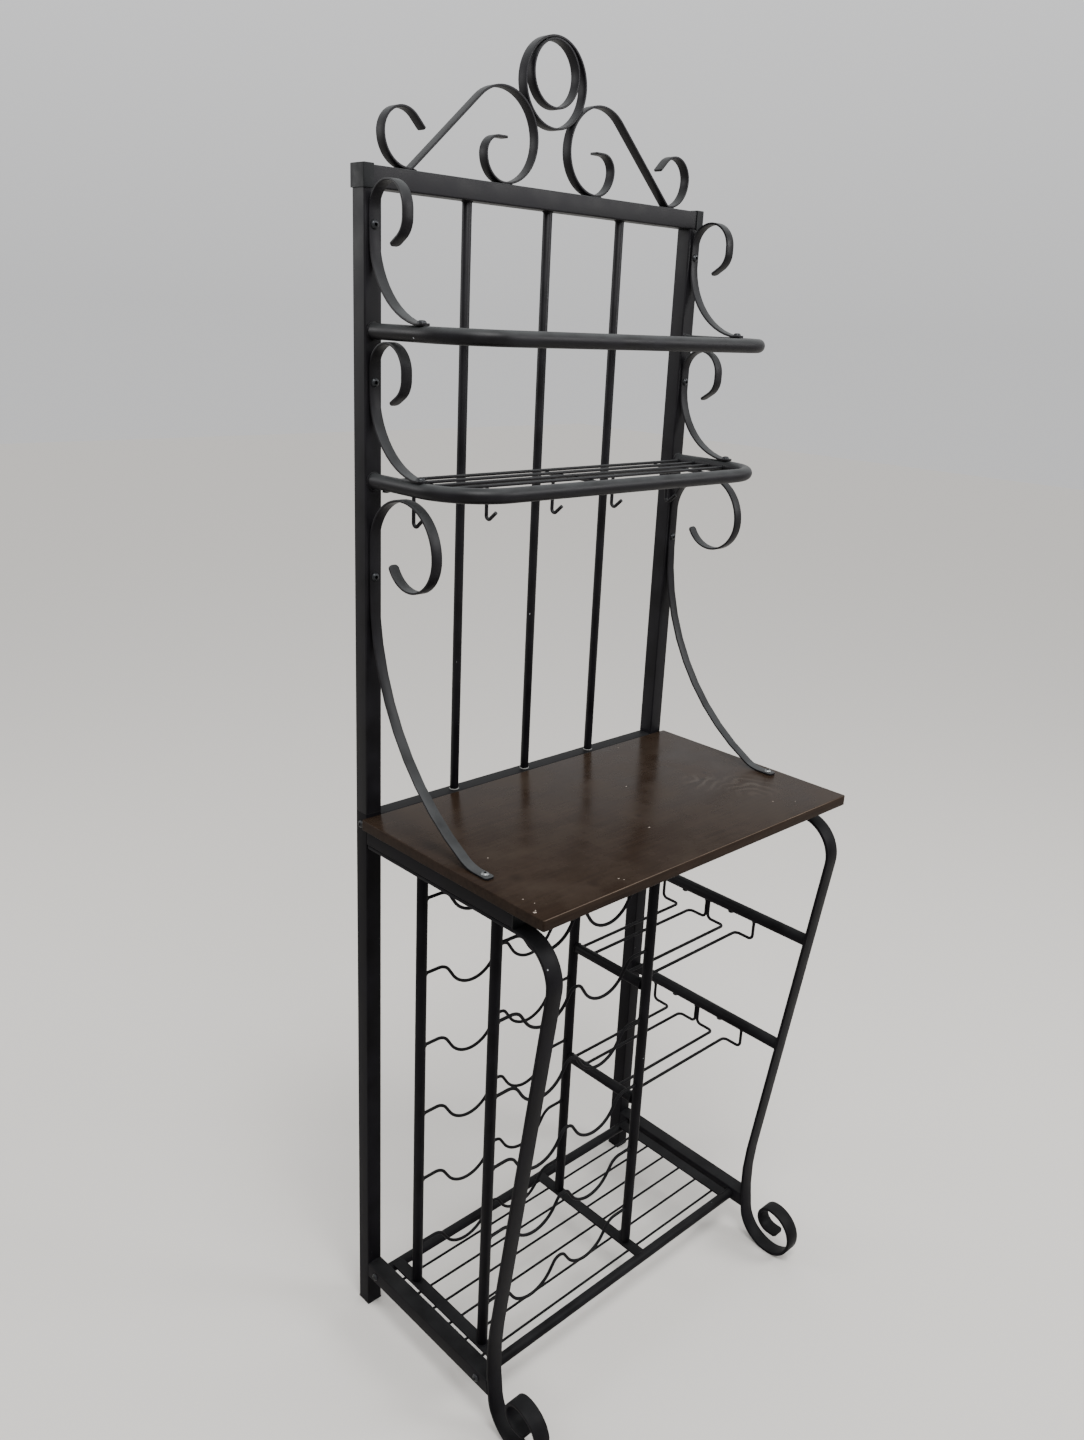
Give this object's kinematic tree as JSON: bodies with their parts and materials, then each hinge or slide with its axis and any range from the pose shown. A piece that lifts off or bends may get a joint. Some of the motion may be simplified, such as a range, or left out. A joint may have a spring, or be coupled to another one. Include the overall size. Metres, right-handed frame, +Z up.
{
  "type": "bakers rack",
  "caption": "Black steel bakers rack: wood worktop on scrolled legs, wire shelves with cup hooks above, wine and glass racks below, scrolled crest on top.",
  "frame": {"origin": "on the floor, in the middle of the rack's overall width and depth", "axes": "+Z up, +Y towards the wall behind the rack, +X to the right of someone facing it"},
  "size_m": [0.625, 0.4205, 1.8497],
  "materials": {
    "powder_coated_steel": "satin black powder coat",
    "black_screws": "black oxide, semi-gloss",
    "bright_screws": "zinc plated",
    "plated_inserts": "zinc plated",
    "black_plastic": "moulded, matt black",
    "worktop_laminate": "dark brown wood-grain laminate on particle board, satin"
  },
  "bodies": {
    "root": {"back_bars": "powder_coated_steel", "bottle_rest_1": "powder_coated_steel", "bottle_rest_2": "powder_coated_steel", "bottle_rest_3": "powder_coated_steel", "bottle_rest_4": "powder_coated_steel", "bottle_rest_5": "powder_coated_steel", "bottle_rest_6": "powder_coated_steel", "bottom_flat_bars": "powder_coated_steel", "bottom_front_tube": "powder_coated_steel", "bottom_rail_bolts": "black_screws", "bottom_rail_left": "powder_coated_steel", "bottom_rail_right": "powder_coated_steel", "bottom_rear_tube": "powder_coated_steel", "bottom_shelf_wires": "powder_coated_steel", "bottom_tube_nuts": "plated_inserts", "bracket_post_screws": "black_screws", "bracket_shelf_screws": "black_screws", "bracket_worktop_screws": "bright_screws", "crest_inner_ring": "powder_coated_steel", "crest_outer_ring": "powder_coated_steel", "crest_scroll_left": "powder_coated_steel", "crest_scroll_right": "powder_coated_steel", "front_leg_left": "powder_coated_steel", "front_leg_right": "powder_coated_steel", "glass_cross_bars": "powder_coated_steel", "glass_hangers_lower": "powder_coated_steel", "glass_hangers_upper": "powder_coated_steel", "glass_side_tubes": "powder_coated_steel", "hook_rod": "powder_coated_steel", "lower_post_left": "powder_coated_steel", "lower_post_right": "powder_coated_steel", "middle_bracket_left": "powder_coated_steel", "middle_bracket_right": "powder_coated_steel", "middle_shelf_cross_bars": "powder_coated_steel", "middle_shelf_hoop": "powder_coated_steel", "middle_shelf_wires": "powder_coated_steel", "post_foot_plugs": "black_plastic", "post_joiners": "powder_coated_steel", "post_joint_screws": "black_screws", "post_thread_inserts": "plated_inserts", "rack_top_bars": "powder_coated_steel", "rack_uprights": "powder_coated_steel", "rear_worktop_rail": "powder_coated_steel", "shelf_hooks": "powder_coated_steel", "top_bracket_left": "powder_coated_steel", "top_bracket_right": "powder_coated_steel", "top_rail": "powder_coated_steel", "top_rail_caps": "black_plastic", "top_shelf_cross_bars": "powder_coated_steel", "top_shelf_hoop": "powder_coated_steel", "top_shelf_wires": "powder_coated_steel", "upper_post_left": "powder_coated_steel", "upper_post_right": "powder_coated_steel", "worktop": "worktop_laminate", "worktop_bracket_left": "powder_coated_steel", "worktop_bracket_right": "powder_coated_steel", "worktop_rail_left": "powder_coated_steel", "worktop_rail_plugs": "black_plastic", "worktop_rail_right": "powder_coated_steel", "worktop_screws": "bright_screws"}
  },
  "joints": []
}
